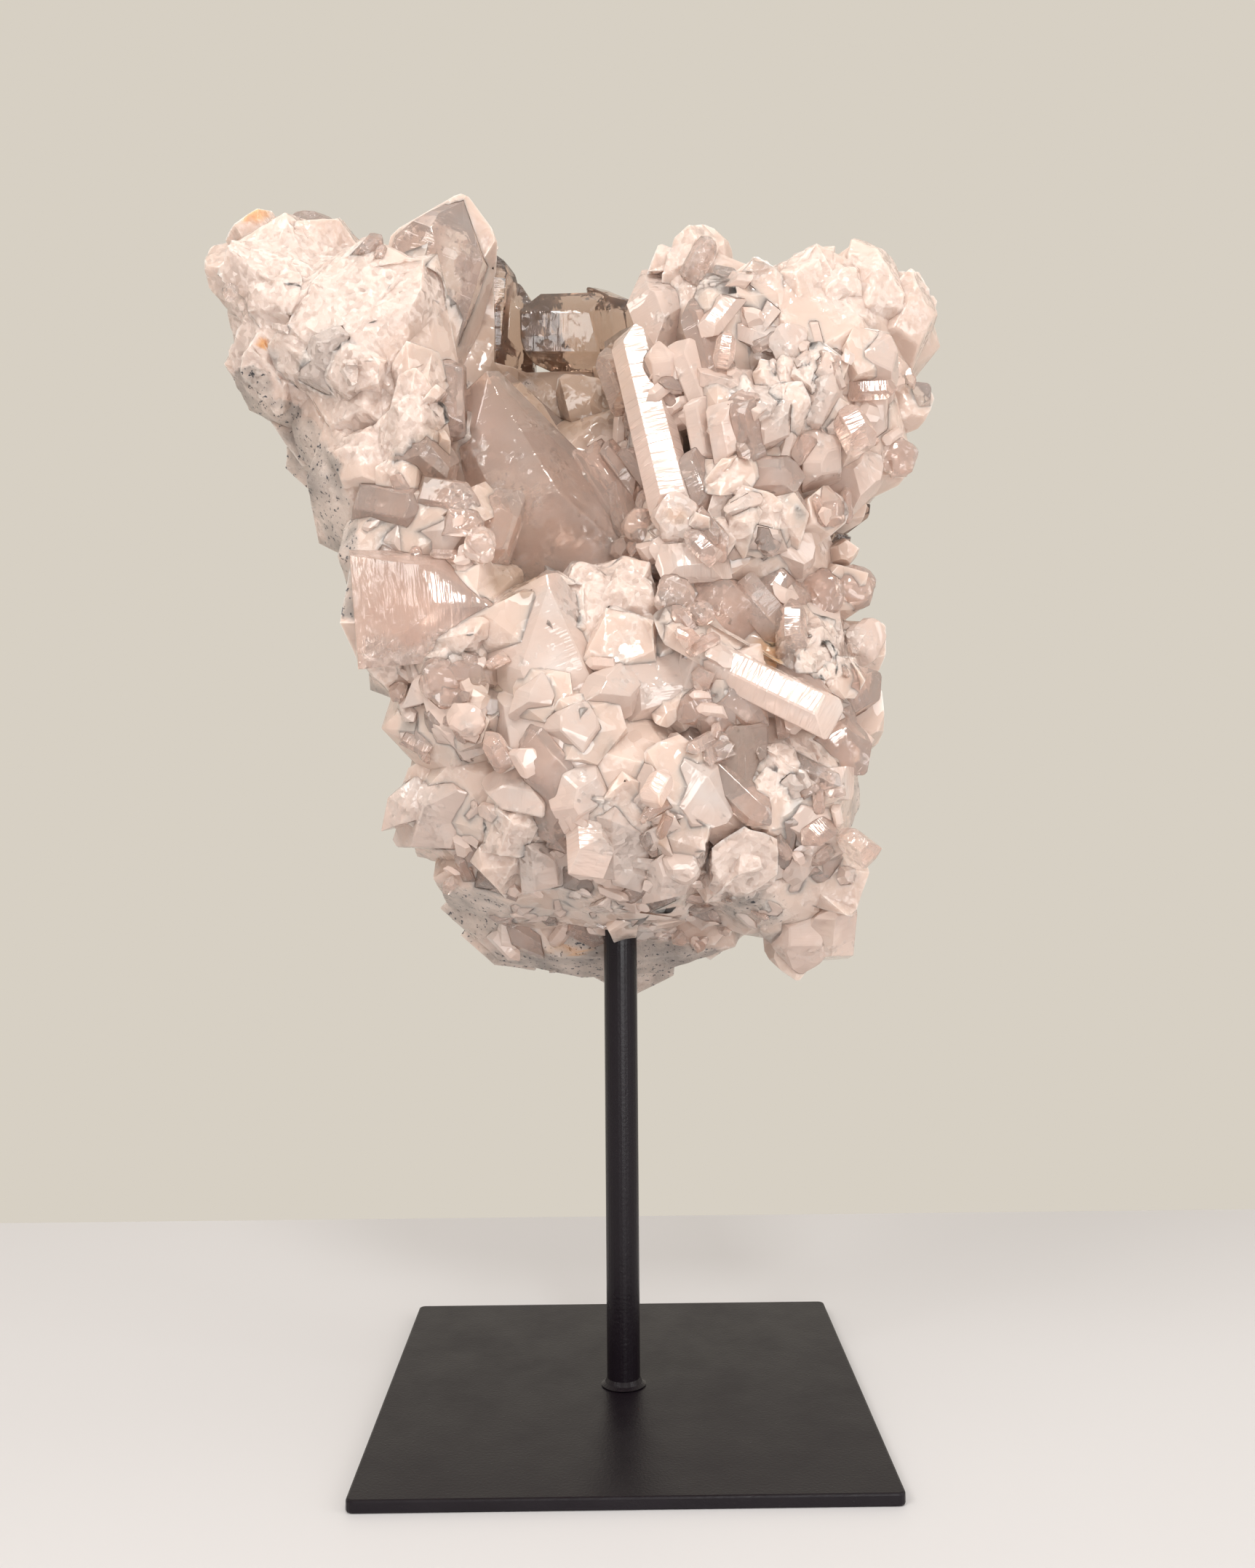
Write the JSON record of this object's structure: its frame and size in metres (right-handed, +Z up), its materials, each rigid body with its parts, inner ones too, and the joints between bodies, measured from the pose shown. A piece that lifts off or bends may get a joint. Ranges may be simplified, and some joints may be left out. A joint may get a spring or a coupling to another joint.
{
  "type": "quartz crystal cluster on display stand",
  "caption": "Natural cluster of pale milky to clear quartz crystals, with a hollow between two lobes, fixed on a black steel rod and square base plate.",
  "frame": {"origin": "on the surface the base plate rests on, under the rod's axis at the middle of the plate", "axes": "+Z up along the rod, -Y towards the crystal-covered front, +X to the right seen from the front"},
  "size_m": [0.1818, 0.115, 0.2954],
  "materials": {
    "black_coat": "satin black powder coat",
    "quartz": "pale pink-white milky to clear quartz, glossy crystal faces, frosted where broken, grey matrix behind"
  },
  "bodies": {
    "root": {"base_plate": "black_coat", "rod": "black_coat", "quartz_cluster": "quartz"}
  },
  "joints": []
}
